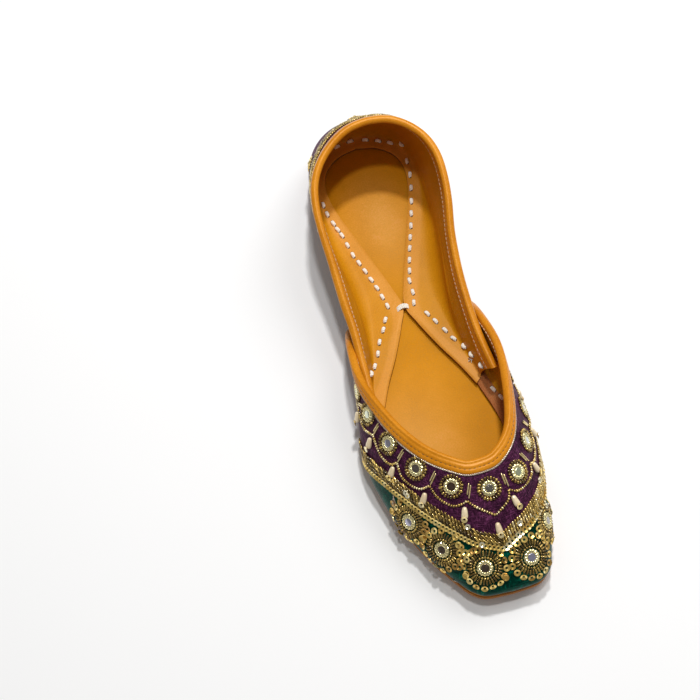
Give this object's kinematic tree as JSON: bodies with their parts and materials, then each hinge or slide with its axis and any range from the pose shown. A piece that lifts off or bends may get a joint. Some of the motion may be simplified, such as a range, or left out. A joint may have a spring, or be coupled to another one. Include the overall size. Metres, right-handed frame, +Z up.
{
  "type": "mojari shoe",
  "caption": "Right flat slip-on shoe with a square toe, thin leather sole, open leather upper with turned-in flaps, bound edges, and a vamp set with beads and round mirrors.",
  "frame": {"origin": "on the underside of the outsole, half-way between heel and toe, on the heel's centre line", "axes": "+Z up, toe towards -Y, heel towards +Y, medial side (big toe) towards +X"},
  "size_m": [0.0854, 0.2568, 0.0517],
  "materials": {
    "sole_leather": "natural tan sole leather, edge left bare",
    "insole_leather": "smooth tan insole leather",
    "lining_leather": "smooth tan lining leather with a slight sheen",
    "binding_leather": "polished orange-tan piping leather",
    "vamp_fabric": "deep purple raw silk",
    "toe_satin": "emerald green satin",
    "gold_beads": "antique gold glass beads and sequins",
    "mirror_glass": "small round mirrors with pale gold rims",
    "thread": "cream cotton sewing thread"
  },
  "bodies": {
    "root": {"outsole": "sole_leather", "insole": "insole_leather", "upper": "vamp_fabric", "vamp_binding": "binding_leather", "quarter_binding": "binding_leather", "bead_band": "gold_beads", "throat_mirror_1": "mirror_glass", "throat_mirror_2": "mirror_glass", "throat_mirror_3": "mirror_glass", "throat_mirror_4": "mirror_glass", "throat_mirror_5": "mirror_glass", "throat_mirror_6": "mirror_glass", "throat_mirror_7": "mirror_glass", "throat_mirror_8": "mirror_glass", "throat_mirror_9": "mirror_glass", "throat_mirror_10": "mirror_glass", "toe_mirror_1": "mirror_glass", "toe_mirror_2": "mirror_glass", "toe_mirror_3": "mirror_glass", "toe_mirror_4": "mirror_glass", "toe_mirror_5": "mirror_glass"}
  },
  "joints": []
}
